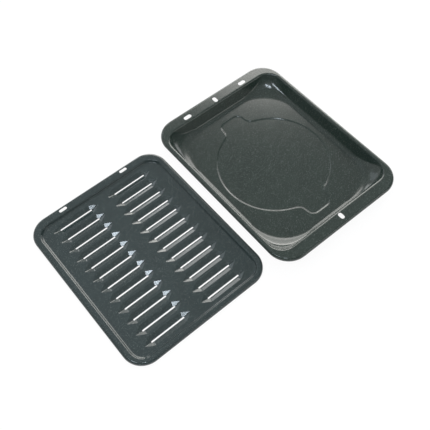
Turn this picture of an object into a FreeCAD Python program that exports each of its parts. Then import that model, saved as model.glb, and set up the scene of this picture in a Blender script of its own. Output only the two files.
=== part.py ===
# Two-piece broiler pan: a deep drip pan and a slotted broiler grid, each pressed
# from one enamelled steel sheet. They lie side by side, right way up.
# X runs along the long sides and Z is up. The origin is the middle of the drip
# pan's underside, on the surface that both pieces stand on.
import FreeCAD, Part
import math
import os
import Sketcher

os.makedirs("parts", exist_ok=True)
doc = FreeCAD.newDocument("broiler_pan")

# Driving dimensions, in millimetres and degrees
DIMENSIONS = [
    ("sheet", 1.0),              # enamelled steel sheet, both pieces
    ("side_gap", 12.6),          # space between the two pieces as they lie
    ("grid_shift", -2.6),        # the grid lies this far along X from the pan,
    ("grid_turn", 0.5),          # and turned by this much
    ("pan_length", 428.0),
    ("pan_width", 324.0),
    ("pan_corner", 48.0),        # outer corner of the flange, seen from above
    ("end_flange", 25.0),        # flat flange at each short end, edge to well
    ("side_flange", 7.0),        # the same along each long side
    ("mouth_corner", 36.0),      # corner of the well where it leaves the flange
    ("well_depth", 29.25),
    ("wall_slope", 72.0),        # wall of the well against the floor
    ("mouth_bend", 4.5),         # rounding from flange to wall
    ("floor_bend", 10.0),        # rounding from wall to floor along the sides
    ("corner_bend", 56.0),       # the same in the four deep-drawn corners
    ("rim_bend", 5.0),           # rounding over the outer edge of both pieces
    ("rim_drop", 7.5),           # height of the turned-down edge
    ("recess_radius", 123.0),    # round recess pressed into the floor
    ("recess_drop", 1.5),
    ("recess_slope", 30.0),      # step of the recess against the floor
    ("recess_bend", 2.5),        # rounding at the head and foot of that step
    ("ear_reach", 152.5),        # the recess runs out into an ear at each end
    ("ear_width", 62.0),
    ("ear_corner", 10.0),
    ("ear_fillet", 14.0),        # where an ear leaves the round recess
    ("hole_inset", 17.0),        # hole centres from the short edges
    ("hanger_spacing", 155.0),   # the two long holes in the far flange
    ("hanger_length", 19.0),
    ("hanger_width", 9.5),
    ("oval_length", 15.0),       # one oval hole in the middle of each short flange
    ("oval_width", 9.0),
    ("grid_length", 385.0),
    ("grid_width", 321.0),
    ("grid_corner", 43.0),
    ("grid_far_rim", 17.0),      # flat rim with the two slots
    ("grid_near_rim", 9.0),
    ("grid_side_rim", 11.5),
    ("panel_corner", 30.0),
    ("panel_drop", 5.5),         # the panel lies this far below the rim
    ("panel_slope", 60.0),
    ("panel_head_bend", 3.5),
    ("panel_foot_bend", 4.0),
    ("rim_slot_inset", 9.25),
    ("rim_slot_spacing", 150.5),
    ("rim_slot_length", 18.0),
    ("rim_slot_width", 7.0),
    ("trough_pitch", 28.0),      # drain troughs lie this far apart in two rows
    ("trough_end_gap", 4.0),     # least flat panel left before and after a row
    ("trough_middle_gap", 23.0), # flat panel between the tips of the two rows
    ("trough_side_gap", 20.0),   # flat panel between the tips and the panel's step
    ("trough_drop", 3.6),
    ("trough_slope", 25.0),
    ("trough_floor", 7.0),       # width of the flat bottom of a trough
    ("trough_point", 5.8),       # length of its pointed ends
    ("trough_end", 2.0),         # the points reach this far past the slot
    ("slot_width", 3.2),
]

# Flats that stand for the rounding of the outer edges
RIM_FLATS = 3

sizes = doc.addObject("Spreadsheet::Sheet", "Sizes")
for row, (alias, size) in enumerate(DIMENSIONS, start=1):
    sizes.set("A%d" % row, alias.replace("_", " "))
    sizes.set("B%d" % row, str(size))
    sizes.setAlias("B%d" % row, alias)
doc.recompute()


def on_sheet(formula):
    """The same formula with each size read from its cell."""
    for alias, _ in DIMENSIONS:
        formula = formula.replace("{%s}" % alias, "Sizes." + alias)
    return formula


def value(formula):
    """The number that a formula gives now."""
    result = sizes.evalExpression(on_sheet(formula))
    return float(getattr(result, "Value", result))


def new_sketch(body, name, height):
    """A level sketch of a body, at a height given by a formula."""
    plane = next(item for item in body.Origin.OriginFeatures if item.Role == "XY_Plane")
    sketch = body.newObject("Sketcher::SketchObject", name)
    sketch.AttachmentSupport = (plane, "")
    sketch.MapMode = "FlatFace"
    sketch.setExpression("AttachmentOffset.Base.z", on_sheet(height))
    return sketch


def drive(sketch, kind, places, formula, sign=1):
    """Adds a measured constraint and binds it to the sheet."""
    index = sketch.addConstraint(Sketcher.Constraint(kind, *places, sign * value(formula)))
    bound = on_sheet(formula) if sign > 0 else "-(%s)" % on_sheet(formula)
    sketch.setExpression("Constraints[%d]" % index, bound)


def hold(sketch, edge, end, across, along):
    """Holds a point of a sketch at two formulas, across in X and along in Y."""
    for kind, formula, axis in (("DistanceX", across, -2), ("DistanceY", along, -1)):
        distance = value(formula)
        if distance > 0:
            drive(sketch, kind, (-1, 1, edge, end), formula)
        elif distance < 0:
            drive(sketch, kind, (edge, end, -1, 1), formula, -1)
        else:
            sketch.addConstraint(Sketcher.Constraint("PointOnObject", edge, end, axis))


def point(x, y):
    """A point of a sketch."""
    return FreeCAD.Vector(x, y, 0)


def rounded_outline(body, name, height, near, far, half_width, corner):
    """A rectangle with rounded corners. near and far are its reach along +X and -X."""
    sketch = new_sketch(body, name, height)
    x1, x0, y1, r = value(near), -value(far), value(half_width), value(corner)
    y0 = -y1
    lines = [
        Part.LineSegment(point(x0 + r, y0), point(x1 - r, y0)),
        Part.LineSegment(point(x1, y0 + r), point(x1, y1 - r)),
        Part.LineSegment(point(x1 - r, y1), point(x0 + r, y1)),
        Part.LineSegment(point(x0, y1 - r), point(x0, y0 + r)),
    ]
    centres = [(x1 - r, y0 + r), (x1 - r, y1 - r), (x0 + r, y1 - r), (x0 + r, y0 + r)]
    quarter = math.pi / 2
    up = FreeCAD.Vector(0, 0, 1)
    for side in range(4):
        sketch.addGeometry(lines[side], False)
        circle = Part.Circle(point(*centres[side]), up, r)
        sketch.addGeometry(Part.ArcOfCircle(circle, (side - 1) * quarter, side * quarter), False)
    for side in range(4):
        line, arc, after = 2 * side, 2 * side + 1, (2 * side + 2) % 8
        sketch.addConstraint(Sketcher.Constraint("Tangent", line, 2, arc, 1))
        sketch.addConstraint(Sketcher.Constraint("Tangent", arc, 2, after, 1))
        sketch.addConstraint(Sketcher.Constraint("Vertical" if side % 2 else "Horizontal", line))
    for arc in (3, 5, 7):
        sketch.addConstraint(Sketcher.Constraint("Equal", 1, arc))
    drive(sketch, "Radius", (1,), corner)
    drive(sketch, "DistanceY", (0, 1, -1, 1), half_width)
    drive(sketch, "DistanceY", (-1, 1, 4, 1), half_width)
    drive(sketch, "DistanceX", (-1, 1, 2, 1), near)
    drive(sketch, "DistanceX", (6, 1, -1, 1), far)
    return sketch


def add_slot(sketch, across, along, length, width, runs_along_y):
    """A slot with round ends in a sketch, centred at two formulas."""
    reach = "((%s) - (%s)) / 2" % (length, width)
    ends = []
    for side in ("-", "+"):
        shifted = "(%s) %s (%s)" % (along if runs_along_y else across, side, reach)
        ends.append((across, shifted) if runs_along_y else (shifted, along))
    r = value(width) / 2
    (ax, ay), (bx, by) = [(value(end[0]), value(end[1])) for end in ends]
    side = point(-r, 0) if runs_along_y else point(0, r)
    a, b = point(ax, ay), point(bx, by)
    up = FreeCAD.Vector(0, 0, 1)
    turn = math.pi if runs_along_y else math.pi / 2
    first = sketch.addGeometry(
        Part.ArcOfCircle(Part.Circle(a, up, r), turn, turn + math.pi), False)
    sketch.addGeometry(Part.LineSegment(a - side, b - side), False)
    sketch.addGeometry(
        Part.ArcOfCircle(Part.Circle(b, up, r), turn + math.pi, turn + 2 * math.pi), False)
    sketch.addGeometry(Part.LineSegment(b + side, a + side), False)
    for step in range(4):
        here, after = first + step, first + (step + 1) % 4
        sketch.addConstraint(Sketcher.Constraint("Tangent", here, 2, after, 1))
    sketch.addConstraint(Sketcher.Constraint("Equal", first, first + 2))
    drive(sketch, "Radius", (first,), "(%s) / 2" % width)
    hold(sketch, first, 3, *ends[0])
    hold(sketch, first + 2, 3, *ends[1])


def straight_outline(body, name, height, corners):
    """A closed outline of straight lines in the first trough's place.

    Each corner gives its place from the middle of the trough, as formulas.
    """
    sketch = new_sketch(body, name, height)
    places = [("%s + (%s)" % (FIRST_TROUGH, across), "%s + (%s)" % (ROW_MIDDLE, along))
              for across, along in corners]
    spots = [point(value(across), value(along)) for across, along in places]
    count = len(places)
    for number in range(count):
        sketch.addGeometry(Part.LineSegment(spots[number], spots[(number + 1) % count]), False)
    for number in range(count):
        after = (number + 1) % count
        sketch.addConstraint(Sketcher.Constraint("Coincident", number, 2, after, 1))
    for number, place in enumerate(places):
        hold(sketch, number, 1, *place)
    return sketch


def eared_outline(body, name, height, inset):
    """The floor recess: a circle with a square-ended ear along X each way."""
    sketch = new_sketch(body, name, height)
    radius = "({recess_radius} - %s)" % inset
    reach = "({ear_reach} - %s)" % inset
    half = "({ear_width} / 2 - %s)" % inset
    turn = "({ear_corner} - %s)" % inset
    root = "({ear_fillet} + %s)" % inset
    root_x = "sqrt(pow(%s + %s; 2) - pow(%s + %s; 2))" % (radius, root, half, root)
    big, x1, y1, r, rf, xf = [value(f) for f in (radius, reach, half, turn, root, root_x)]
    lean = math.atan2(y1 + rf, xf)
    up = FreeCAD.Vector(0, 0, 1)

    def arc(x, y, size, begin, end):
        circle = Part.Circle(point(x, y), up, size)
        return sketch.addGeometry(Part.ArcOfCircle(circle, begin, end), False)

    def line(x, y, x2, y2):
        return sketch.addGeometry(Part.LineSegment(point(x, y), point(x2, y2)), False)

    half_turn = math.pi
    line(x1, -y1 + r, x1, y1 - r)
    arc(x1 - r, y1 - r, r, 0, half_turn / 2)
    line(x1 - r, y1, xf, y1)
    arc(xf, y1 + rf, rf, lean + half_turn, 1.5 * half_turn)
    arc(0, 0, big, lean, half_turn - lean)
    arc(-xf, y1 + rf, rf, 1.5 * half_turn, 2 * half_turn - lean)
    line(-xf, y1, -x1 + r, y1)
    arc(-x1 + r, y1 - r, r, half_turn / 2, half_turn)
    line(-x1, y1 - r, -x1, -y1 + r)
    arc(-x1 + r, -y1 + r, r, half_turn, 1.5 * half_turn)
    line(-x1 + r, -y1, -xf, -y1)
    arc(-xf, -y1 - rf, rf, lean, half_turn / 2)
    arc(0, 0, big, half_turn + lean, 2 * half_turn - lean)
    arc(xf, -y1 - rf, rf, half_turn / 2, half_turn - lean)
    line(xf, -y1, x1 - r, -y1)
    arc(x1 - r, -y1 + r, r, 1.5 * half_turn, 2 * half_turn)
    # Each joint runs on smoothly. The arcs at the roots of the ears are drawn from
    # their other end, so the joints name the end that meets.
    backwards = (3, 5, 11, 13)
    for number in range(16):
        after = (number + 1) % 16
        out = 1 if number in backwards else 2
        into = 2 if after in backwards else 1
        sketch.addConstraint(Sketcher.Constraint("Tangent", number, out, after, into))
    for first, others in ((1, (7, 9, 15)), (3, (5, 11, 13))):
        for other in others:
            sketch.addConstraint(Sketcher.Constraint("Equal", first, other))
    for number in (0, 8):
        sketch.addConstraint(Sketcher.Constraint("Vertical", number))
    for number in (2, 6, 10, 14):
        sketch.addConstraint(Sketcher.Constraint("Horizontal", number))
    for number in (4, 12):
        sketch.addConstraint(Sketcher.Constraint("Coincident", number, 3, -1, 1))
    drive(sketch, "Radius", (1,), turn)
    drive(sketch, "Radius", (3,), root)
    drive(sketch, "Radius", (4,), radius)
    drive(sketch, "DistanceX", (-1, 1, 0, 1), reach)
    drive(sketch, "DistanceX", (8, 1, -1, 1), reach)
    for number in (2, 6):
        drive(sketch, "DistanceY", (-1, 1, number, 1), half)
    for number in (10, 14):
        drive(sketch, "DistanceY", (number, 1, -1, 1), half)
    return sketch


def pad(body, name, sketch, length):
    """Fills a sketch downwards by a formula."""
    feature = body.newObject("PartDesign::Pad", name)
    feature.Profile = sketch
    feature.Reversed = True
    feature.setExpression("Length", on_sheet(length))
    return feature


def pocket(body, name, sketch, length):
    """Cuts a sketch downwards by a formula."""
    feature = body.newObject("PartDesign::Pocket", name)
    feature.Profile = sketch
    feature.Reversed = False
    feature.setExpression("Length", on_sheet(length))
    return feature


def loft(body, kind, name, sketches):
    """Adds or cuts the straight-sided loft through a list of sketches."""
    feature = body.newObject("PartDesign::" + kind, name)
    feature.Profile = sketches[0]
    feature.Sections = sketches[1:]
    feature.Ruled = True
    doc.recompute()
    return feature


def flat_rim(body, half_length, half_width, corner):
    """The flat rim sheet with its edge rounded over and turned down.

    The rounding has a few flats, on the upper skin and on the lower one.
    """
    for kind, side, skin in (("AdditiveLoft", "Top", "0"), ("SubtractiveLoft", "Under", "{sheet}")):
        stations = []
        for step in range(RIM_FLATS + 1):
            angle = "(90 * %d / %d)" % (step, RIM_FLATS)
            height = "(({rim_bend} - %s) * cos%s - {rim_bend})" % (skin, angle)
            stations.append((height, "({rim_bend} - ({rim_bend} - %s) * sin%s)" % (skin, angle)))
        stations.append(("-{rim_drop}", skin))
        sketches = []
        for number, (height, inset) in enumerate(stations):
            reach = "%s - %s" % (half_length, inset)
            sketches.append(rounded_outline(
                body, "Rim%s%02d" % (side, number), height, reach, reach,
                "%s - %s" % (half_width, inset), "%s - %s" % (corner, inset)))
        loft(body, kind, "Rim" + side, sketches)


def step_inset(head, foot, slope, depth):
    """How far a pressed step runs in, from its head to its foot, as a formula."""
    return "((%s + %s) * tan(%s / 2) + %s / tan(%s))" % (head, foot, slope, depth, slope)


def pressed_stations(skin, head, foot, slope, depth, flats, floor="0"):
    """Heights and insets down a pressed step, as formulas, from its head to its foot.

    skin is "0" on the upper surface of the sheet and its thickness on the
    underside, and floor is the height of the level that the step starts from.
    flats gives the number of flats in the head, the wall and the foot. Each
    station also says whether it lies below the head.
    """
    head_flats, wall_flats, foot_flats = flats
    foot_inset = step_inset(head, foot, slope, depth)
    upper = []
    for step in range(head_flats + 1):
        angle = "(%s * %d / %d)" % (slope, step, head_flats)
        height = "(%s - %s - (%s - %s) * (1 - cos%s))" % (floor, skin, head, skin, angle)
        upper.append((height, "((%s - %s) * sin%s)" % (head, skin, angle)))
    lower = []
    for step in range(foot_flats, -1, -1):
        angle = "(%s * %d / %d)" % (slope, step, foot_flats)
        height = "(%s - %s + %s - (%s + %s) * cos%s)" % (floor, depth, foot, foot, skin, angle)
        lower.append((height, "(%s - (%s + %s) * sin%s)" % (foot_inset, foot, skin, angle)))
    wall = []
    for step in range(1, wall_flats):
        wall.append(tuple("(%s + (%s - %s) * %d / %d)" % (top, bottom, top, step, wall_flats)
                          for top, bottom in zip(upper[-1], lower[0])))
    below_head = [False] * head_flats + [True] * (1 + len(wall) + len(lower))
    return [station + (below,) for station, below in zip(upper + wall + lower, below_head)]


def press(body, name, outline, **form):
    """Presses a form into the sheet: adds its outside, then cuts its inside."""
    for kind, side, skin in (("AdditiveLoft", "Outside", "{sheet}"),
                             ("SubtractiveLoft", "Inside", "0")):
        sketches = []
        for number, (height, inset, below) in enumerate(pressed_stations(skin, **form)):
            label = "%s%s%02d" % (name, side, number)
            sketches.append(outline(body, label, height, inset, skin, below))
        loft(body, kind, name + side, sketches)


def cut_holes(body, name, slots):
    """Cuts slots through the flat rim. Each is (x, y, length, width, runs along Y)."""
    sketch = new_sketch(body, name + "Outlines", "0")
    for across, along, length, width, runs_along_y in slots:
        add_slot(sketch, across, along, length, width, runs_along_y)
    return pocket(body, name, sketch, "2 * {sheet}")


# Drip pan: the rim, the well with its deep-drawn corners, the recess in its
# floor, and the hanging holes in the short flanges
pan = doc.addObject("PartDesign::Body", "drip_pan")
pan.Label = "drip_pan"
flat_rim(pan, "{pan_length} / 2", "{pan_width} / 2", "{pan_corner}")

CORNER_SPAN = "{well_depth} * (2 * ({mouth_bend} + {corner_bend}) - {well_depth})"


def well_outline(body, name, height, inset, skin, below_mouth):
    """One level of the well. Below the mouth bend its corners widen to the floor."""
    radius = "{mouth_corner} - %s" % inset
    if below_mouth:
        rise = "({corner_bend} - (%s + {well_depth}))" % height
        bowl = "sqrt(pow({corner_bend} + %s; 2) - pow(%s; 2))" % (skin, rise)
        widened = "(sqrt(%s) - %s - sqrt(2) * %s) / (sqrt(2) - 1)" % (CORNER_SPAN, bowl, inset)
        radius = "{mouth_corner} + " + widened
    reach = "{pan_length} / 2 - {end_flange} - %s" % inset
    half_width = "{pan_width} / 2 - {side_flange} - %s" % inset
    return rounded_outline(body, name, height, reach, reach, half_width, radius)


press(pan, "Well", well_outline, head="{mouth_bend}", foot="{floor_bend}",
      slope="{wall_slope}", depth="{well_depth}", flats=(2, 2, 3))


def recess_outline(body, name, height, inset, skin, below_head):
    return eared_outline(body, name, height, inset)


press(pan, "Recess", recess_outline, head="{recess_bend}", foot="{recess_bend}",
      slope="{recess_slope}", depth="{recess_drop}", floor="(-{well_depth})",
      flats=(1, 1, 1))
hole_x = "{pan_length} / 2 - {hole_inset}"
hangers = [("-(%s)" % hole_x, "%s{hanger_spacing} / 2" % side, "{hanger_length}",
            "{hanger_width}", True) for side in ("-", "")]
ovals = [("%s(%s)" % (side, hole_x), "0", "{oval_length}", "{oval_width}", False)
         for side in ("-", "")]
cut_holes(pan, "Holes", hangers + ovals)
pan.setExpression("Placement.Base.z", on_sheet("{well_depth} + {sheet} + {recess_drop}"))
doc.recompute()

# Broiler grid: the rim, the sunk panel, two rows of pointed drain troughs with a
# slot along the bottom of each, and two slots in the wider rim
grid = doc.addObject("PartDesign::Body", "broiler_grid")
grid.Label = "broiler_grid"
flat_rim(grid, "{grid_length} / 2", "{grid_width} / 2", "{grid_corner}")


def panel_outline(body, name, height, inset, skin, below_head):
    near = "{grid_length} / 2 - {grid_near_rim} - %s" % inset
    far = "{grid_length} / 2 - {grid_far_rim} - %s" % inset
    half_width = "{grid_width} / 2 - {grid_side_rim} - %s" % inset
    return rounded_outline(body, name, height, near, far, half_width,
                           "{panel_corner} - %s" % inset)


press(grid, "Panel", panel_outline, head="{panel_head_bend}", foot="{panel_foot_bend}",
      slope="{panel_slope}", depth="{panel_drop}", flats=(2, 1, 2))

# The rows fill the panel: its length gives the number of troughs, its width their length
PANEL_STEP = step_inset("{panel_head_bend}", "{panel_foot_bend}", "{panel_slope}", "{panel_drop}")
PANEL_MIDDLE = "({grid_far_rim} - {grid_near_rim}) / 2"
PANEL_LENGTH = "({grid_length} - {grid_far_rim} - {grid_near_rim} - 2 * %s)" % PANEL_STEP
PANEL_HALF_WIDTH = "({grid_width} / 2 - {grid_side_rim} - %s)" % PANEL_STEP
TROUGH_RUN = "({trough_drop} / tan({trough_slope}))"
TROUGH_WIDTH = "({trough_floor} + 2 * %s)" % TROUGH_RUN
TROUGH_STEPS = "floor((%s - 2 * {trough_end_gap} - %s) / {trough_pitch})" % (
    PANEL_LENGTH, TROUGH_WIDTH)
TROUGH_LENGTH = "(%s - {trough_side_gap} - {trough_middle_gap} / 2)" % PANEL_HALF_WIDTH
TROUGH_LEAN = "({trough_point} / ({trough_floor} / 2))"
TIP_GROWTH = "sqrt(1 + pow(%s; 2))" % TROUGH_LEAN
SLOT_LENGTH = "(%s - 2 * ({trough_end} + %s * %s))" % (TROUGH_LENGTH, TROUGH_RUN, TIP_GROWTH)
FIRST_TROUGH = "(%s - %s * {trough_pitch} / 2)" % (PANEL_MIDDLE, TROUGH_STEPS)
ROW_MIDDLE = "({trough_middle_gap} / 2 + %s / 2)" % TROUGH_LENGTH
x_axis = next(item for item in grid.Origin.OriginFeatures if item.Role == "X_Axis")
xz_plane = next(item for item in grid.Origin.OriginFeatures if item.Role == "XZ_Plane")


def in_two_rows(name, feature):
    """Repeats a feature of the first trough along its row and across the grid."""
    doc.recompute()
    rows = grid.newObject("PartDesign::MultiTransform", name)
    rows.Originals = [feature]
    along = doc.addObject("PartDesign::LinearPattern", name + "Along")
    across = doc.addObject("PartDesign::Mirrored", name + "Across")
    along.Direction = (x_axis, [""])
    along.setExpression("Length", on_sheet("%s * {trough_pitch}" % TROUGH_STEPS))
    along.setExpression("Occurrences", on_sheet("%s + 1" % TROUGH_STEPS))
    across.MirrorPlane = (xz_plane, [""])
    rows.Transformations = [along, across]
    grid.Tip = rows
    doc.recompute()
    return rows


def trough_floor(name, height, skin):
    """The bottom of the first trough on one side of the sheet, pointed at both ends."""
    grow = "(%s * tan({trough_slope} / 2))" % skin
    half = "({trough_floor} / 2 + %s)" % grow
    tip = "(%s / 2 + {trough_end} + %s * %s)" % (SLOT_LENGTH, grow, TIP_GROWTH)
    shoulder = "(%s - %s * %s)" % (tip, half, TROUGH_LEAN)
    return straight_outline(grid, name, height, [
        (half, "-" + shoulder), (half, shoulder), ("0", tip),
        ("-" + half, shoulder), ("-" + half, "-" + shoulder), ("0", "-" + tip)])


def lean_walls(name, rows, top, opens_out):
    """Leans the upright walls of all the troughs out to their slope, about their bottoms."""
    high, low = value(top), value("%s - {trough_drop}" % top)
    walls, floors = [], []
    for number, face in enumerate(rows.Shape.Faces, start=1):
        box = face.BoundBox
        if abs(box.ZMin - low) < 1e-4 and abs(box.ZMax - high) < 1e-4:
            walls.append("Face%d" % number)
        elif abs(box.ZMin - low) < 1e-4 and abs(box.ZMax - low) < 1e-4:
            floors.append("Face%d" % number)
    leaned = grid.newObject("PartDesign::Draft", name)
    leaned.Base = (rows, walls)
    leaned.NeutralPlane = (rows, floors[:1])
    leaned.Reversed = opens_out
    leaned.setExpression("Angle", on_sheet("90 - {trough_slope}"))
    doc.recompute()


under, upper = "(-{panel_drop} - {sheet})", "(-{panel_drop})"
outside = pad(grid, "TroughOutside", trough_floor("OutsideOutline", under, "{sheet}"),
              "{trough_drop}")
lean_walls("TroughUnderSlopes", in_two_rows("OutsideRows", outside), under, True)
inside = pocket(grid, "TroughInside", trough_floor("InsideOutline", upper, "0"),
                "{trough_drop}")
lean_walls("TroughSlopes", in_two_rows("InsideRows", inside), upper, False)

# The small round ends of the slots have three flats each.
side, end = "({slot_width} / 2)", "(%s / 2)" % SLOT_LENGTH
cut = "({slot_width} * (1 - cos(45)))"
slot_outline = straight_outline(grid, "SlotOutline", "-{panel_drop} - {trough_drop}", [
    (side, "-(%s - %s)" % (end, cut)), (side, "%s - %s" % (end, cut)),
    ("%s - %s" % (side, cut), end), ("-(%s - %s)" % (side, cut), end),
    ("-" + side, "%s - %s" % (end, cut)), ("-" + side, "-(%s - %s)" % (end, cut)),
    ("-(%s - %s)" % (side, cut), "-" + end), ("%s - %s" % (side, cut), "-" + end)])
in_two_rows("SlotRows", pocket(grid, "Slot", slot_outline, "2 * {sheet}"))

rim_slot_x = "-({grid_length} / 2 - {rim_slot_inset})"
cut_holes(grid, "RimSlots", [
    (rim_slot_x, "%s{rim_slot_spacing} / 2" % side, "{rim_slot_length}",
     "{rim_slot_width}", True) for side in ("-", "")])
grid.setExpression("Placement.Base.z", on_sheet("{panel_drop} + {trough_drop} + {sheet}"))
grid.setExpression("Placement.Base.x", on_sheet("{grid_shift}"))
grid.setExpression("Placement.Base.y",
                   on_sheet("-{pan_width} / 2 - {side_gap} - {grid_width} / 2"))
grid.setExpression("Placement.Rotation.Angle", on_sheet("{grid_turn}"))
doc.recompute()

# Checks, then one file for each piece
for item in doc.Objects:
    if {"Invalid", "Error"} & set(item.State):
        raise RuntimeError("%s did not build: %s" % (item.Label, item.State))
for body in (pan, grid):
    shape = body.Shape
    if shape.isNull() or not shape.isValid() or len(shape.Solids) != 1:
        raise RuntimeError("%s is not one sound solid" % body.Label)
    shape.exportStep("parts/%s.step" % body.Label)
    box = shape.BoundBox
    print("%s: volume %.0f, x %.2f to %.2f, y %.2f to %.2f, z %.2f to %.2f" % (
        body.Label, shape.Volume, box.XMin, box.XMax, box.YMin, box.YMax, box.ZMin, box.ZMax))
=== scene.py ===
import bmesh
import bpy
import math
from mathutils import Matrix, Vector
from mathutils.geometry import delaunay_2d_cdt


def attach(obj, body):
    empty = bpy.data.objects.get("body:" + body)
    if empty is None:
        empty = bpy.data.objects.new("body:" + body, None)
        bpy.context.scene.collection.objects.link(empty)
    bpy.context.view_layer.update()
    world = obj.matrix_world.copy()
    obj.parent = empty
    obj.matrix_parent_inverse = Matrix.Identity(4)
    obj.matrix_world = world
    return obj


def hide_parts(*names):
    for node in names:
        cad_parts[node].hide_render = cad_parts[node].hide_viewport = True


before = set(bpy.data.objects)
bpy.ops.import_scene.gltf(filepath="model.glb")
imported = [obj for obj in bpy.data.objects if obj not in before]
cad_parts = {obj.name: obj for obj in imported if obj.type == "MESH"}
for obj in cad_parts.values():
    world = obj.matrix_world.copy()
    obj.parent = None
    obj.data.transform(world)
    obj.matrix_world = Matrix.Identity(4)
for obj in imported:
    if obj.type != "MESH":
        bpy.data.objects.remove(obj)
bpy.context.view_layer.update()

# Drip pan: one sheet of steel, a millimetre thick with its enamel. The rim is rolled
# over and turned down, the well is deep-drawn with wide corners, and an eared round
# recess is pressed into its floor. It is modelled in millimetres about the rim's top.
mm = 0.001
sheet = 1.0
pan_reach, pan_half_width, pan_corner = 214.0, 162.0, 48.0
rim_bend, rim_drop = 5.0, 7.5
end_flange, side_flange, mouth_corner = 25.0, 7.0, 36.0
well_depth, wall_slope = 29.25, math.radians(72)
mouth_bend, floor_bend, corner_bend = 4.5, 10.0, 56.0
recess_drop, recess_slope, recess_bend = 1.5, math.radians(30), 3.5
recess_radius, ear_reach, ear_half, ear_corner, ear_fillet = 123.0, 152.5, 31.0, 18.0, 18.0
hole_inset, hanger_spread = 17.0, 155.0
hanger_slot, oval_hole = (19.0, 9.5), (15.0, 9.0)  # length and width
support = 0.4  # a loop this far into each flat keeps the flat's shading flat


def arc(x, y, radius, begin, end, steps):
    """Points along an arc, in even steps, with both its ends."""
    turn = (end - begin) / steps
    return [(x + radius * math.cos(begin + turn * n), y + radius * math.sin(begin + turn * n))
            for n in range(steps + 1)]


def rounded(near, far, half_width, corner, steps=24):
    """A rectangle with rounded corners. near and far are its reach along +X and -X."""
    points = []
    for number, (x, y) in enumerate(((near - corner, half_width - corner),
                                     (corner - far, half_width - corner),
                                     (corner - far, corner - half_width),
                                     (near - corner, corner - half_width))):
        begin = number * math.pi / 2
        points += arc(x, y, corner, begin, begin + math.pi / 2, steps)
    return points


def slot_outline(x, y, length, width, along_y, steps=10):
    """A slot with round ends."""
    reach, radius = (length - width) / 2, width / 2
    if along_y:
        return (arc(x, y + reach, radius, 0, math.pi, steps)
                + arc(x, y - reach, radius, math.pi, 2 * math.pi, steps))
    return (arc(x + reach, y, radius, -math.pi / 2, math.pi / 2, steps)
            + arc(x - reach, y, radius, math.pi / 2, 3 * math.pi / 2, steps))


def new_sheet(name):
    """An empty mesh in edit mode, to which outlines are added."""
    bpy.ops.object.select_all(action="DESELECT")
    bpy.ops.mesh.primitive_plane_add()
    piece = bpy.context.object
    piece.name = name
    bpy.ops.object.mode_set(mode="EDIT")
    bpy.ops.mesh.delete(type="VERT")
    return piece


def lay(piece, outline, height):
    """Places the selected outline's points, in their order, on an outline at a height."""
    mesh = bmesh.from_edit_mesh(piece.data)
    order = mesh.verts.layers.int["order"]
    for vertex in mesh.verts:
        if vertex.select:
            x, y = outline[vertex[order]]
            vertex.co = (x, y, height)
    bmesh.update_edit_mesh(piece.data)


def add_outline(piece, outline, height):
    """Adds a closed outline at a height and leaves it selected."""
    bpy.ops.mesh.select_all(action="DESELECT")
    bpy.ops.mesh.primitive_circle_add(vertices=len(outline))
    mesh = bmesh.from_edit_mesh(piece.data)
    order = mesh.verts.layers.int.get("order") or mesh.verts.layers.int.new("order")
    circle = [vertex for vertex in mesh.verts if vertex.select]
    circle.sort(key=lambda vertex: math.atan2(vertex.co.y, vertex.co.x))
    for number, vertex in enumerate(circle):
        vertex[order] = number
    bmesh.update_edit_mesh(piece.data)
    lay(piece, outline, height)


def press_down(piece, stations):
    """Draws the selected outline on through the stations, each an outline and a height."""
    for outline, height in stations:
        bpy.ops.mesh.extrude_region()
        lay(piece, outline, height)


def fill_level(piece, height, level_tolerance=1e-4, merge_distance=1e-5):
    """Fills the flat between the open outlines at a height, leaving the holes in it open."""
    mesh = bmesh.from_edit_mesh(piece.data)
    rims = [edge for edge in mesh.edges if len(edge.link_faces) < 2
            and all(abs(vertex.co.z - height) < level_tolerance for vertex in edge.verts)]
    corners = sorted({vertex for edge in rims for vertex in edge.verts},
                     key=lambda vertex: vertex.index)
    number = {vertex: place for place, vertex in enumerate(corners)}
    sides = [(number[edge.verts[0]], number[edge.verts[1]]) for edge in rims]
    flat = [vertex.co.xy for vertex in corners]
    points, _, triangles, sources, _, _ = delaunay_2d_cdt(flat, sides, [], 1, merge_distance)
    for triangle in triangles:
        x, y = sum((points[corner] for corner in triangle), Vector((0, 0))) / 3
        crossed = 0
        for first, second in sides:
            start, end = flat[first], flat[second]
            if (start.y > y) != (end.y > y):
                share = (y - start.y) / (end.y - start.y)
                crossed += x < start.x + (end.x - start.x) * share
        if crossed % 2:
            mesh.faces.new([corners[sources[corner][0]] for corner in triangle])
    bmesh.update_edit_mesh(piece.data)


def rim_stations(outline):
    """The turned-down edge and its rounding, from the lower edge in to the flat rim."""
    steps = 8
    stations = []
    for step in range(steps + 1):
        angle = math.pi / 2 * step / steps
        stations.append((outline(rim_bend * (1 - math.cos(angle))),
                         rim_bend * (math.sin(angle) - 1)))
    return stations + [(outline(rim_bend + support), 0)]


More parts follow.
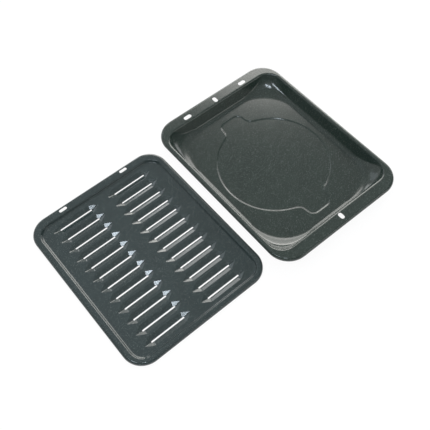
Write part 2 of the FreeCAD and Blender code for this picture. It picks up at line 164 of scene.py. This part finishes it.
def step_stations(outline, head, foot, slope, depth, level=0.0, steps=(8, 16, 14)):
    """A pressed step from the flat above it, at a level, to the flat below it."""
    run = (head + foot) * math.tan(slope / 2) + depth / math.tan(slope)
    stations = [(outline(0, level), level)]
    for step in range(1, steps[0] + 1):
        angle = slope * step / steps[0]
        height = level - head * (1 - math.cos(angle))
        stations.append((outline(head * math.sin(angle), height), height))
    top_inset, top = head * math.sin(slope), level - head * (1 - math.cos(slope))
    low_inset, low = run - foot * math.sin(slope), level - depth + foot * (1 - math.cos(slope))
    for step in range(1, steps[1]):
        share = step / steps[1]
        height = top + (low - top) * share
        stations.append((outline(top_inset + (low_inset - top_inset) * share, height), height))
    for step in range(steps[2], -1, -1):
        angle = slope * step / steps[2]
        height = level - depth + foot * (1 - math.cos(angle))
        stations.append((outline(run - foot * math.sin(angle), height), height))
    return stations + [(outline(run + support, level - depth), level - depth)]


def pan_outline(inset):
    """The edge of the pan, moved in."""
    return rounded(pan_reach - inset, pan_reach - inset, pan_half_width - inset,
                   pan_corner - inset)


corner_span = math.sqrt(well_depth * (2 * (mouth_bend + corner_bend) - well_depth))
well_run = ((mouth_bend + floor_bend) * math.tan(wall_slope / 2)
            + well_depth / math.tan(wall_slope))


def well_outline(inset, height):
    """The well at a height. Below the mouth bend its corners widen to the floor."""
    reach = pan_reach - end_flange - inset
    half_width = pan_half_width - side_flange - inset
    corner = mouth_corner - inset
    if height < -well_depth * mouth_bend / (mouth_bend + corner_bend):
        rise = corner_bend - (height + well_depth)
        travel = corner_span - math.sqrt(corner_bend ** 2 - rise ** 2) + max(inset - well_run, 0)
        corner = mouth_corner + (travel - math.sqrt(2) * inset) / (math.sqrt(2) - 1)
    return rounded(reach, reach, half_width, corner)


def recess_outline(inset, height):
    """The recess: a circle with a square-ended ear along X each way."""
    radius, reach, half = recess_radius - inset, ear_reach - inset, ear_half - inset
    corner, fillet = ear_corner - inset, ear_fillet + inset
    root_x = math.sqrt((radius + fillet) ** 2 - (half + fillet) ** 2)
    lean = math.atan2(half + fillet, root_x)
    quarter = arc(reach - corner, half - corner, corner, 0, math.pi / 2, 8)
    quarter += arc(root_x, half + fillet, fillet, 1.5 * math.pi, math.pi + lean, 8)[:-1]
    quarter += arc(0, 0, radius, lean, math.pi / 2, 40)
    upper = quarter + [(-x, y) for x, y in reversed(quarter[:-1])]
    return upper + [(x, -y) for x, y in reversed(upper)]


pan = new_sheet("enamelled_drip_pan")
add_outline(pan, pan_outline(0), -rim_drop)
press_down(pan, rim_stations(pan_outline))

well = step_stations(well_outline, mouth_bend, floor_bend, wall_slope, well_depth)
add_outline(pan, well_outline(-support, 0), 0)
press_down(pan, well)

hole_x, hanger_y = pan_reach - hole_inset, hanger_spread / 2
for hole in (slot_outline(-hole_x, -hanger_y, *hanger_slot, True),
             slot_outline(-hole_x, hanger_y, *hanger_slot, True),
             slot_outline(-hole_x, 0, *oval_hole, False),
             slot_outline(hole_x, 0, *oval_hole, False)):
    add_outline(pan, hole, 0)
fill_level(pan, 0)

recess = step_stations(recess_outline, recess_bend, recess_bend, recess_slope, recess_drop,
                       level=-well_depth, steps=(5, 2, 5))
add_outline(pan, recess_outline(-support, 0), -well_depth)
press_down(pan, recess)
fill_level(pan, -well_depth)
fill_level(pan, -well_depth - recess_drop)


def finish_sheet(piece, height, edge=0.3, crease=math.radians(50)):
    """Gives the surface its thickness and soft edges, and sets it in its place."""
    bpy.ops.mesh.select_all(action="SELECT")
    bpy.ops.mesh.normals_make_consistent(inside=False)
    mesh = bmesh.from_edit_mesh(piece.data)
    widest = max(mesh.faces, key=lambda face: face.calc_area())
    if widest.normal.z < 0:
        bpy.ops.mesh.flip_normals()
    bpy.ops.object.mode_set(mode="OBJECT")
    wall = piece.modifiers.new("sheet", "SOLIDIFY")
    wall.thickness, wall.offset = sheet, -1
    wall.use_even_offset = True
    bpy.ops.object.modifier_apply(modifier="sheet")
    soft = piece.modifiers.new("edges", "BEVEL")
    soft.width, soft.segments = edge, 2
    soft.limit_method, soft.angle_limit = "ANGLE", crease
    soft.use_clamp_overlap = True
    bpy.ops.object.modifier_apply(modifier="edges")
    bpy.ops.object.shade_smooth_by_angle(angle=crease)
    flats = piece.modifiers.new("flats", "WEIGHTED_NORMAL")
    flats.weight = 100
    flats.keep_sharp = True
    bpy.ops.object.modifier_apply(modifier="flats")
    piece.location.z = height * mm
    piece.scale = (mm, mm, mm)
    bpy.ops.object.transform_apply(location=True, rotation=True, scale=True)


finish_sheet(pan, well_depth + sheet + recess_drop)

# The vitreous enamel of both pieces: a glassy dark green-grey coat, fired on in one colour
# with a fine pale speckle, and a little uneven, like all enamel.
pan_ground, enamel_speck = (0.0145, 0.024, 0.020, 1), (0.20, 0.235, 0.22, 1)


def enamel_pattern():
    """The colour, roughness and unevenness of the enamel, as a node group."""
    group = bpy.data.node_groups.new("Speckled enamel", "ShaderNodeTree")
    for name, kind in (("Ground", "NodeSocketColor"), ("Speck", "NodeSocketColor")):
        group.interface.new_socket(name, in_out="INPUT", socket_type=kind)
    for name, kind in (("Color", "NodeSocketColor"), ("Roughness", "NodeSocketFloat"),
                       ("Height", "NodeSocketFloat")):
        group.interface.new_socket(name, in_out="OUTPUT", socket_type=kind)
    nodes, links = group.nodes, group.links
    given, made = nodes.new("NodeGroupInput"), nodes.new("NodeGroupOutput")
    place = nodes.new("ShaderNodeTexCoord").outputs["Object"]

    def noise(size, detail=2.0):
        texture = nodes.new("ShaderNodeTexNoise")
        texture.inputs["Scale"].default_value = 1 / size
        texture.inputs["Detail"].default_value = detail
        links.new(place, texture.inputs["Vector"])
        return texture.outputs["Fac"]

    def specks(size, share, radius):
        """A mask of round specks, in a share of the cells of a pattern. Its size is in metres,
        and the radius is a part of it."""
        cells = nodes.new("ShaderNodeTexVoronoi")
        cells.inputs["Scale"].default_value = 1 / size
        links.new(place, cells.inputs["Vector"])
        pick = nodes.new("ShaderNodeSeparateColor")
        links.new(cells.outputs["Color"], pick.inputs["Color"])
        chosen = nodes.new("ShaderNodeMath")
        chosen.operation = "LESS_THAN"
        chosen.inputs[1].default_value = share
        links.new(pick.outputs["Red"], chosen.inputs[0])
        round_off = nodes.new("ShaderNodeMapRange")
        round_off.inputs["From Min"].default_value = radius
        round_off.inputs["From Max"].default_value = radius * 0.6
        links.new(cells.outputs["Distance"], round_off.inputs["Value"])
        mask = nodes.new("ShaderNodeMath")
        mask.operation = "MULTIPLY"
        links.new(chosen.outputs[0], mask.inputs[0])
        links.new(round_off.outputs["Result"], mask.inputs[1])
        return mask.outputs[0]

    def mixed(factor, first, second):
        mix = nodes.new("ShaderNodeMix")
        mix.data_type = "RGBA"
        links.new(factor, mix.inputs["Factor"])
        for value, socket in ((first, mix.inputs["A"]), (second, mix.inputs["B"])):
            if isinstance(value, tuple):
                socket.default_value = value
            else:
                links.new(value, socket)
        return mix.outputs["Result"]

    def ranged(value, low, high):
        spread = nodes.new("ShaderNodeMapRange")
        spread.inputs["To Min"].default_value = low
        spread.inputs["To Max"].default_value = high
        links.new(value, spread.inputs["Value"])
        return spread.outputs["Result"]

    large = specks(0.0017, 0.40, 0.22)
    small = specks(0.0010, 0.4, 0.26)
    both = nodes.new("ShaderNodeMath")
    both.operation = "MAXIMUM"
    links.new(large, both.inputs[0])
    links.new(ranged(small, 0.0, 0.6), both.inputs[1])
    tone = nodes.new("ShaderNodeMix")
    tone.data_type, tone.blend_type = "RGBA", "MULTIPLY"
    tone.inputs["Factor"].default_value = 1
    links.new(given.outputs["Ground"], tone.inputs["A"])
    links.new(ranged(noise(0.035, 3.0), 0.82, 1.18), tone.inputs["B"])
    links.new(mixed(both.outputs[0], tone.outputs["Result"], given.outputs["Speck"]),
              made.inputs["Color"])
    links.new(ranged(noise(0.02, 3.0), 0.10, 0.17), made.inputs["Roughness"])
    relief = nodes.new("ShaderNodeMath")
    relief.operation = "MULTIPLY_ADD"
    relief.inputs[1].default_value = 2.0
    links.new(noise(0.05, 1.0), relief.inputs[0])
    links.new(noise(0.003, 1.0), relief.inputs[2])
    links.new(relief.outputs[0], made.inputs["Height"])
    return group


enamel_group = enamel_pattern()


def enamel(name, ground):
    """The finished enamel of a piece, in its own ground colour."""
    material = bpy.data.materials.new(name)
    material.use_nodes = True
    nodes, links = material.node_tree.nodes, material.node_tree.links
    shader = nodes["Principled BSDF"]
    pattern = nodes.new("ShaderNodeGroup")
    pattern.node_tree = enamel_group
    pattern.inputs["Ground"].default_value = ground
    pattern.inputs["Speck"].default_value = enamel_speck
    links.new(pattern.outputs["Color"], shader.inputs["Base Color"])
    links.new(pattern.outputs["Roughness"], shader.inputs["Roughness"])
    bump = nodes.new("ShaderNodeBump")
    bump.inputs["Strength"].default_value = 0.25
    bump.inputs["Distance"].default_value = 0.00006
    links.new(pattern.outputs["Height"], bump.inputs["Height"])
    links.new(bump.outputs["Normal"], shader.inputs["Normal"])
    shader.inputs["IOR"].default_value = 1.5
    return material


pan.data.materials.clear()
pan.data.materials.append(enamel("pan enamel", pan_ground))
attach(pan, "root")
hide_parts("drip_pan")

# Broiler grid: the same sheet, with a rolled rim, a sunk panel and 24 troughs, pointed
# at both ends, each with a long drain slot punched through its bottom. Its far rim is
# the wide one and has two lifting slots. It lies turned by half a degree.
grid_reach, grid_half_width, grid_corner = 192.5, 160.5, 43.0
grid_far_rim, grid_near_rim, grid_side_rim, panel_corner = 17.0, 9.0, 11.5, 30.0
panel_drop, panel_slope, panel_head, panel_foot = 5.5, math.radians(60), 3.5, 4.0
trough_pitch, trough_count, trough_drop, trough_slope = 28.0, 12, 3.6, math.radians(25)
trough_half, trough_point, trough_end = 3.5, 5.8, 2.0
trough_side_gap, trough_middle_gap, trough_head, trough_foot = 20.0, 23.0, 2.5, 1.0
tip_round, shoulder_round = (0.8, 0.2), (3.0, 0.5)  # at the bottom, and what growth adds
slot_width = 3.2
lifting_slot, lifting_slot_inset, lifting_slot_spread = (18.0, 7.0), 9.25, 150.5
grid_gap, grid_shift, grid_turn = 12.6, -2.6, math.radians(0.5)
grid_ground = (0.0145, 0.0245, 0.025, 1)


def grid_outline(inset):
    """The edge of the grid, moved in."""
    return rounded(grid_reach - inset, grid_reach - inset, grid_half_width - inset,
                   grid_corner - inset)


def panel_outline(inset, height):
    """The sunk panel, the same at every height."""
    return rounded(grid_reach - grid_near_rim - inset, grid_reach - grid_far_rim - inset,
                   grid_half_width - grid_side_rim - inset, panel_corner - inset)


panel_run = ((panel_head + panel_foot) * math.tan(panel_slope / 2)
             + panel_drop / math.tan(panel_slope))
trough_run = trough_drop / math.tan(trough_slope)
lean = trough_point / trough_half
tip_growth = math.sqrt(1 + lean ** 2)
trough_length = (grid_half_width - grid_side_rim - panel_run
                 - trough_side_gap - trough_middle_gap / 2)
row_middle = trough_middle_gap / 2 + trough_length / 2
slot_length = trough_length - 2 * (trough_end + trough_run * tip_growth)
first_trough = (grid_far_rim - grid_near_rim) / 2 - (trough_count - 1) * trough_pitch / 2


def trough_outline(growth):
    """A trough's outline, grown evenly from its bottom, with its six corners rounded."""
    half = trough_half + growth
    tip = slot_length / 2 + trough_end + growth * tip_growth
    shoulder = tip - half * lean
    corners = [(half, -shoulder), (half, shoulder), (0, tip),
               (-half, shoulder), (-half, -shoulder), (0, -tip)]
    points = []
    for number, corner in enumerate(corners):
        before, here, after = [Vector(corners[(number + step) % 6]) for step in (-1, 0, 1)]
        back, on = (before - here).normalized(), (after - here).normalized()
        opening = back.angle(on)
        least, gain = tip_round if number in (2, 5) else shoulder_round
        radius = least + growth * gain
        reach = radius / math.tan(opening / 2)
        centre = here + (back + on).normalized() * radius / math.sin(opening / 2)
        start, end = here + back * reach - centre, here + on * reach - centre
        begin = math.atan2(start.y, start.x)
        points += arc(centre.x, centre.y, radius, begin, begin + math.pi - opening, 5)
    return points


def trough_stations():
    """The trough's surface from the panel down to its flat bottom."""
    reach, steps = math.tan(trough_slope / 2), 3
    stations = []
    for step in range(steps + 1):
        angle = trough_slope * step / steps
        growth = trough_run + trough_head * (reach - math.sin(angle))
        stations.append((trough_outline(growth),
                         -panel_drop - trough_head * (1 - math.cos(angle))))
    for step in range(steps, -1, -1):
        angle = trough_slope * step / steps
        growth = trough_foot * (math.sin(angle) - reach)
        stations.append((trough_outline(growth),
                         -panel_drop - trough_drop + trough_foot * (1 - math.cos(angle))))
    return stations


grid = new_sheet("enamelled_broiler_grid")
add_outline(grid, grid_outline(0), -rim_drop)
press_down(grid, rim_stations(grid_outline))
add_outline(grid, panel_outline(-support, 0), 0)
press_down(grid, step_stations(panel_outline, panel_head, panel_foot, panel_slope, panel_drop,
                               steps=(6, 2, 6)))
for side in (-1, 1):
    add_outline(grid, slot_outline(lifting_slot_inset - grid_reach,
                                   side * lifting_slot_spread / 2, *lifting_slot, True), 0)
fill_level(grid, 0)
bpy.ops.object.mode_set(mode="OBJECT")

trough = new_sheet("drain_trough")
mouth = trough_run + trough_head * math.tan(trough_slope / 2)
add_outline(trough, trough_outline(mouth + support), -panel_drop)
press_down(trough, trough_stations())
add_outline(trough, slot_outline(0, 0, slot_length, slot_width, True, 6),
            -panel_drop - trough_drop)
fill_level(trough, -panel_drop - trough_drop)
bpy.ops.object.mode_set(mode="OBJECT")
places = [(first_trough + number * trough_pitch, side * row_middle, 0)
          for side in (-1, 1) for number in range(trough_count)]
troughs = [trough]
trough.location = places[0]
for place in places[1:]:
    bpy.ops.object.duplicate()
    bpy.context.object.location = place
    troughs.append(bpy.context.object)
for each in troughs + [grid]:
    each.select_set(True)
bpy.context.view_layer.objects.active = grid
bpy.ops.object.join()
bpy.ops.object.mode_set(mode="EDIT")
fill_level(grid, -panel_drop)
finish_sheet(grid, panel_drop + trough_drop + sheet)
grid.rotation_euler.z = grid_turn
grid.location = (grid_shift * mm, -(pan_half_width + grid_gap + grid_half_width) * mm, 0)
bpy.ops.object.transform_apply(location=True, rotation=True, scale=True)
grid.data.materials.clear()
grid.data.materials.append(enamel("grid enamel", grid_ground))
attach(grid, "root")
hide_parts("broiler_grid")

# Studio: a plain pale floor that runs on into a white surround. A large soft lamp stands
# low behind the pans, and smaller soft lamps and a dim room show in the glossy enamel.
floor_width, floor_middle, floor_drop = 8, -0.17, 0.0004
floor_tone, floor_white = (0.9, 0.9, 0.9, 1), 0.92
bpy.ops.object.select_all(action="DESELECT")
bpy.ops.mesh.primitive_plane_add(size=floor_width, location=(0, floor_middle, -floor_drop))
floor = bpy.context.object
floor.name = "studio_floor"
floor_paint = bpy.data.materials.new("floor paint")
floor_paint.use_nodes = True
world = bpy.data.worlds.new("studio")
bpy.context.scene.world = world
world.use_nodes = True
for tree in (floor_paint.node_tree, world.node_tree):
    tree.nodes.clear()
nodes, links = floor_paint.node_tree.nodes, floor_paint.node_tree.links


def calculate(operation, *values):
    """A Math node of numbers or sockets, in the tree that is being built."""
    node = nodes.new("ShaderNodeMath")
    node.operation = operation
    for value, socket in zip(values, node.inputs):
        if isinstance(value, (int, float)):
            socket.default_value = value
        else:
            links.new(value, socket)
    return node.outputs[0]


def blended(share, first, second, output):
    """Sends a mix of two shaders to the tree's output."""
    blend = nodes.new("ShaderNodeMixShader")
    for value, socket in zip((share, first, second), blend.inputs):
        links.new(value, socket)
    links.new(blend.outputs[0], nodes.new(output).inputs["Surface"])


# The camera and the glossy enamel see the floor nearly white. All else sees its paint,
# which keeps the shadow.
path = nodes.new("ShaderNodeLightPath").outputs
paint = nodes.new("ShaderNodeBsdfDiffuse")
paint.inputs["Color"].default_value = floor_tone
seen_white = calculate("MULTIPLY", floor_white,
                       calculate("ADD", path["Is Camera Ray"], path["Is Glossy Ray"]))
blended(seen_white, paint.outputs[0], nodes.new("ShaderNodeEmission").outputs[0],
        "ShaderNodeOutputMaterial")
floor.data.materials.append(floor_paint)

nodes, links = world.node_tree.nodes, world.node_tree.links
direction = nodes.new("ShaderNodeSeparateXYZ")
links.new(nodes.new("ShaderNodeTexCoord").outputs["Generated"], direction.inputs[0])
east, north, skyward = direction.outputs
heading = calculate("WRAP", calculate("DEGREES", calculate("ARCTAN2", north, east)), 360, 0)
rise = calculate("DEGREES", calculate("ARCSINE", skyward))


def between(value, low, high, edge):
    """1 between two limits, with a soft edge at each."""
    sides = []
    for start, end in ((low - edge, low + edge), (high + edge, high - edge)):
        side = nodes.new("ShaderNodeMapRange")
        side.interpolation_type = "SMOOTHSTEP"
        side.inputs["From Min"].default_value = start
        side.inputs["From Max"].default_value = end
        links.new(value, side.inputs["Value"])
        sides.append(side.outputs["Result"])
    return calculate("MULTIPLY", *sides)


def panel(first, last, low, high, edge):
    """A soft panel between two headings and two rises, in degrees."""
    return calculate("MULTIPLY", between(heading, first, last, edge),
                     between(rise, low, high, edge))


def strip(left, right, near, far, edge=0.01):
    """A strip lamp overhead, between two limits across and two along."""
    mask = calculate("MULTIPLY", between(east, left, right, edge),
                     between(north, near, far, edge))
    return calculate("MULTIPLY", mask, between(skyward, 0, 2, edge))


def oval(middle, level, half_width, half_height, edge):
    """A soft oval round a heading and a rise, in degrees. Its reach is 0 in the middle and 1
    at its edge, so the lower limit lies out of the way."""
    across = calculate("DIVIDE", calculate("SUBTRACT", heading, middle), half_width)
    along = calculate("DIVIDE", calculate("SUBTRACT", rise, level), half_height)
    reach = calculate("ADD", calculate("POWER", across, 2), calculate("POWER", along, 2))
    return between(reach, -2, 1, edge)


def light(mask, radiance, colour):
    """Light from where the mask is 1, at a radiance where 1 is white."""
    lamp = nodes.new("ShaderNodeBackground")
    lamp.inputs["Color"].default_value = colour
    links.new(calculate("MULTIPLY", mask, radiance), lamp.inputs["Strength"])
    return lamp.outputs[0]


white_light, cool_light, warm_light = (1, 1, 1, 1), (0.8, 0.9, 1, 1), (1, 0.98, 0.94, 1)
main_lamp = calculate("MULTIPLY", oval(136, 14, 38, 34, 0.14), between(heading, 110, 155, 2.5))
dimmer_middle = calculate("SUBTRACT", 1, calculate("MULTIPLY", between(rise, 15, 40, 4), 0.45))
lamps = {
    "room": light(1, 0.24, white_light),
    "ceiling": light(panel(-20, 380, 45, 100, 6), 0.38, white_light),
    "wall behind": light(panel(95, 245, -5, 45, 6), 0.6, white_light),
    "ceiling behind": light(panel(148, 190, 54, 78, 8), 0.3, cool_light),
    "left of the main lamp": light(panel(176, 192, 12, 38, 4), 1.0, cool_light),
    "front right": light(panel(10, 40, 12, 32, 4), 2.0, warm_light),
    "main": light(calculate("MULTIPLY", main_lamp, dimmer_middle), 6.6, warm_light),
    "main, left wing": light(panel(161.5, 167.5, 3, 30, 1.5), 3.8, white_light),
    "main, right wing": light(panel(86, 108, 8, 24, 4), 2.5, white_light),
    "short strip": light(strip(0.17, 0.40, -0.28, -0.24), 34.0, cool_light),
    "long strip": light(strip(-0.20, 0.25, -0.60, -0.51), 15.0, cool_light),
}
total = lamps.pop("room")
for lamp in lamps.values():
    both = nodes.new("ShaderNodeAddShader")
    links.new(total, both.inputs[0])
    links.new(lamp, both.inputs[1])
    total = both.outputs[0]
# The camera sees plain white, and it lights the enamel's own colour at a plain level.
path = nodes.new("ShaderNodeLightPath").outputs
plain = calculate("MAXIMUM", path["Is Camera Ray"], path["Is Diffuse Ray"])
blended(plain, total, light(1, 1, white_light), "ShaderNodeOutputWorld")

# Camera: the photograph's view, fitted to the corners, holes and slots of both pieces.
azimuth, elevation, roll = math.radians(53.25), math.radians(58.92), math.radians(-2.80)
eye = Vector((551.47, -574.73, 1099.37))
focal_length, picture_width = 629.24, 430  # in the photograph's pixels
back = Vector((math.sin(azimuth) * math.cos(elevation),
               -math.cos(azimuth) * math.cos(elevation), math.sin(elevation)))
right = Vector((math.cos(azimuth), math.sin(azimuth), 0))
up = back.cross(right)
turned_right = right * math.cos(roll) + up * math.sin(roll)
turned_up = up * math.cos(roll) - right * math.sin(roll)
lens = bpy.data.cameras.new("photo view")
lens.sensor_width = 36
lens.lens = focal_length / picture_width * lens.sensor_width
camera = bpy.data.objects.new("photo view", lens)
bpy.context.collection.objects.link(camera)
facing = Matrix((turned_right, turned_up, back)).transposed().to_4x4()
camera.matrix_world = Matrix.Translation(eye * mm) @ facing
bpy.context.scene.camera = camera
bpy.context.scene.view_settings.view_transform = "Standard"
